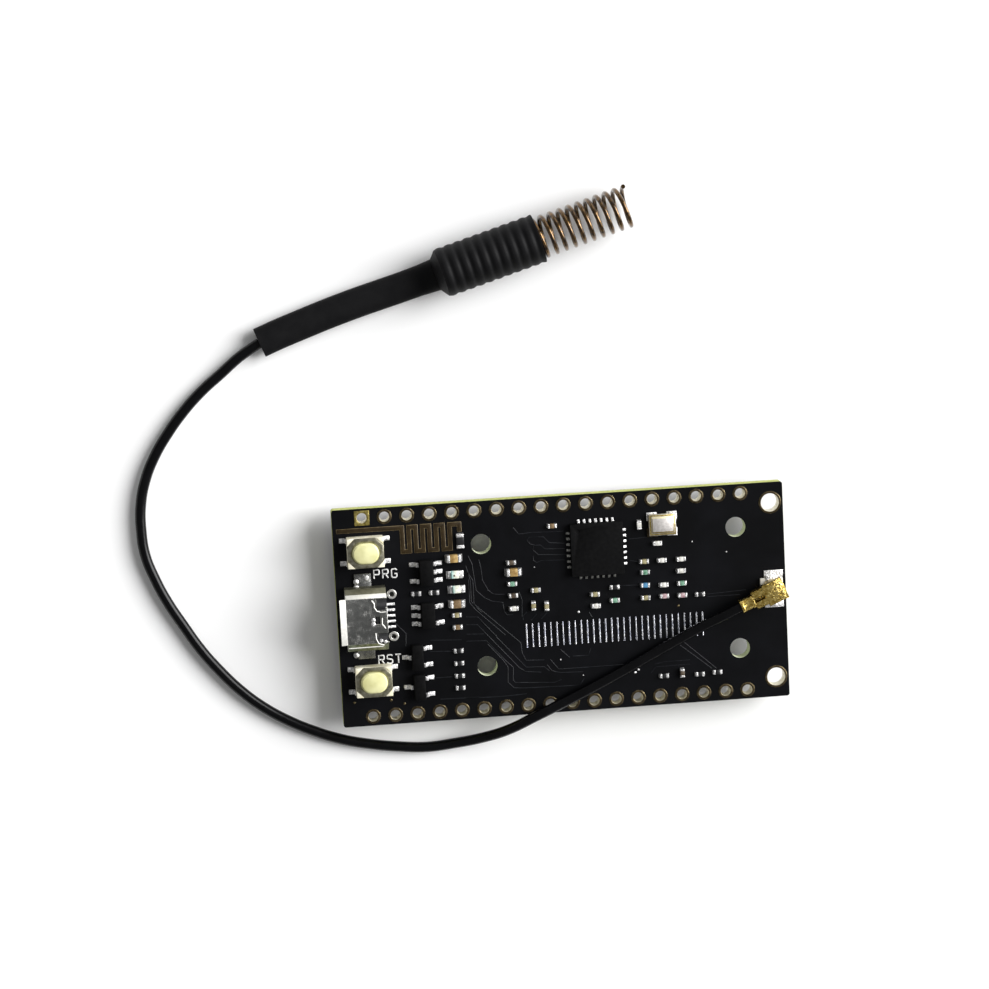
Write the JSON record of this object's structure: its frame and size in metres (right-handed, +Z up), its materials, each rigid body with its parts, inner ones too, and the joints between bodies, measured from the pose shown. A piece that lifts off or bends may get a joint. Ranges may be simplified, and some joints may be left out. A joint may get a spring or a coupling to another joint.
{
  "type": "radio development board with coil aerial",
  "caption": "Small black radio board with USB socket, two push buttons and a coil aerial on a thin lead.",
  "frame": {"origin": "centre of the board's footprint on the surface that its underside parts stand on", "axes": "+X along the board towards the aerial socket, +Y towards the printed aerial and the first header pin, +Z up from the underside parts to the buttons"},
  "size_m": [0.0735, 0.0639, 0.0064],
  "materials": {
    "solder_mask": "gloss black mask over glass laminate",
    "gold_plating": "thin gold plating",
    "solder": "bright solder",
    "masked_copper": "copper under black mask",
    "shell_steel": "scratched tinned steel",
    "black_moulding": "matt black moulding",
    "switch_case": "cream moulding",
    "cover_steel": "thin sheet, dull",
    "button_plastic": "cream yellow moulding",
    "gold_rim": "gold plated rim",
    "lid_metal": "satin lid",
    "lamp_resin": "clear and white resin",
    "tan_ceramic": "tan ceramic",
    "resistor_black": "black glaze",
    "inductor_ceramic": "pale blue green ceramic",
    "white_moulding": "off white moulding",
    "tantalum_resin": "amber resin",
    "lead_jacket": "smooth black jacket",
    "shrink_sleeve": "satin shrink tube",
    "bronze_wire": "bronze coloured wire"
  },
  "bodies": {
    "circuit_board": {"board": "solder_mask", "header_eyelets": "gold_plating", "fixing_eyelets": "gold_plating", "display_pads": "solder", "printed_aerial": "masked_copper", "usb_shell": "shell_steel", "usb_tongue": "black_moulding", "usb_contacts": "solder", "prg_base": "switch_case", "prg_cover": "cover_steel", "prg_terminals": "solder", "prg_dome": "cover_steel", "rst_base": "switch_case", "rst_cover": "cover_steel", "rst_terminals": "solder", "rst_dome": "cover_steel", "radio_chip": "black_moulding", "radio_chip_pads": "solder", "crystal_base": "gold_rim", "crystal_lid": "lid_metal", "charger_chip": "black_moulding", "charger_leads": "solder", "regulator_chip": "black_moulding", "regulator_leads": "solder", "transistor_bodies": "black_moulding", "transistor_leads": "solder", "lamp_bodies": "lamp_resin", "lamp_ends": "solder", "capacitor_bodies": "tan_ceramic", "capacitor_ends": "solder", "resistor_bodies": "resistor_black", "resistor_ends": "solder", "inductor_bodies": "inductor_ceramic", "inductor_ends": "solder", "socket_base": "white_moulding", "socket_shell": "solder", "socket_pin": "gold_plating", "processor_chip": "black_moulding", "processor_pads": "solder", "memory_chip": "black_moulding", "memory_leads": "solder", "serial_chip": "black_moulding", "serial_pads": "solder", "processor_crystal": "lid_metal", "battery_socket": "white_moulding", "battery_pins": "solder", "bulk_capacitor": "tantalum_resin", "bulk_capacitor_ends": "solder", "lower_passives": "tan_ceramic", "lower_passive_ends": "solder", "plug_shell": "gold_plating", "plug_insulator": "white_moulding", "plug_contact": "gold_plating", "plug_ferrule": "gold_plating", "aerial_lead": "lead_jacket", "aerial_sleeve": "shrink_sleeve", "aerial_coil": "bronze_wire"},
    "program_button": {"prg_button": "button_plastic"},
    "reset_button": {"rst_button": "button_plastic"}
  },
  "joints": [
    {"name": "program_press", "type": "slide", "parent": "circuit_board", "child": "program_button", "axis": [0, 0, -1], "range_m": [0, 0.00025], "stiffness_N_per_m": 400, "springref_m": -0.0005, "deforming": ["prg_dome"]},
    {"name": "reset_press", "type": "slide", "parent": "circuit_board", "child": "reset_button", "axis": [0, 0, -1], "range_m": [0, 0.00025], "stiffness_N_per_m": 400, "springref_m": -0.0005, "deforming": ["rst_dome"]}
  ]
}
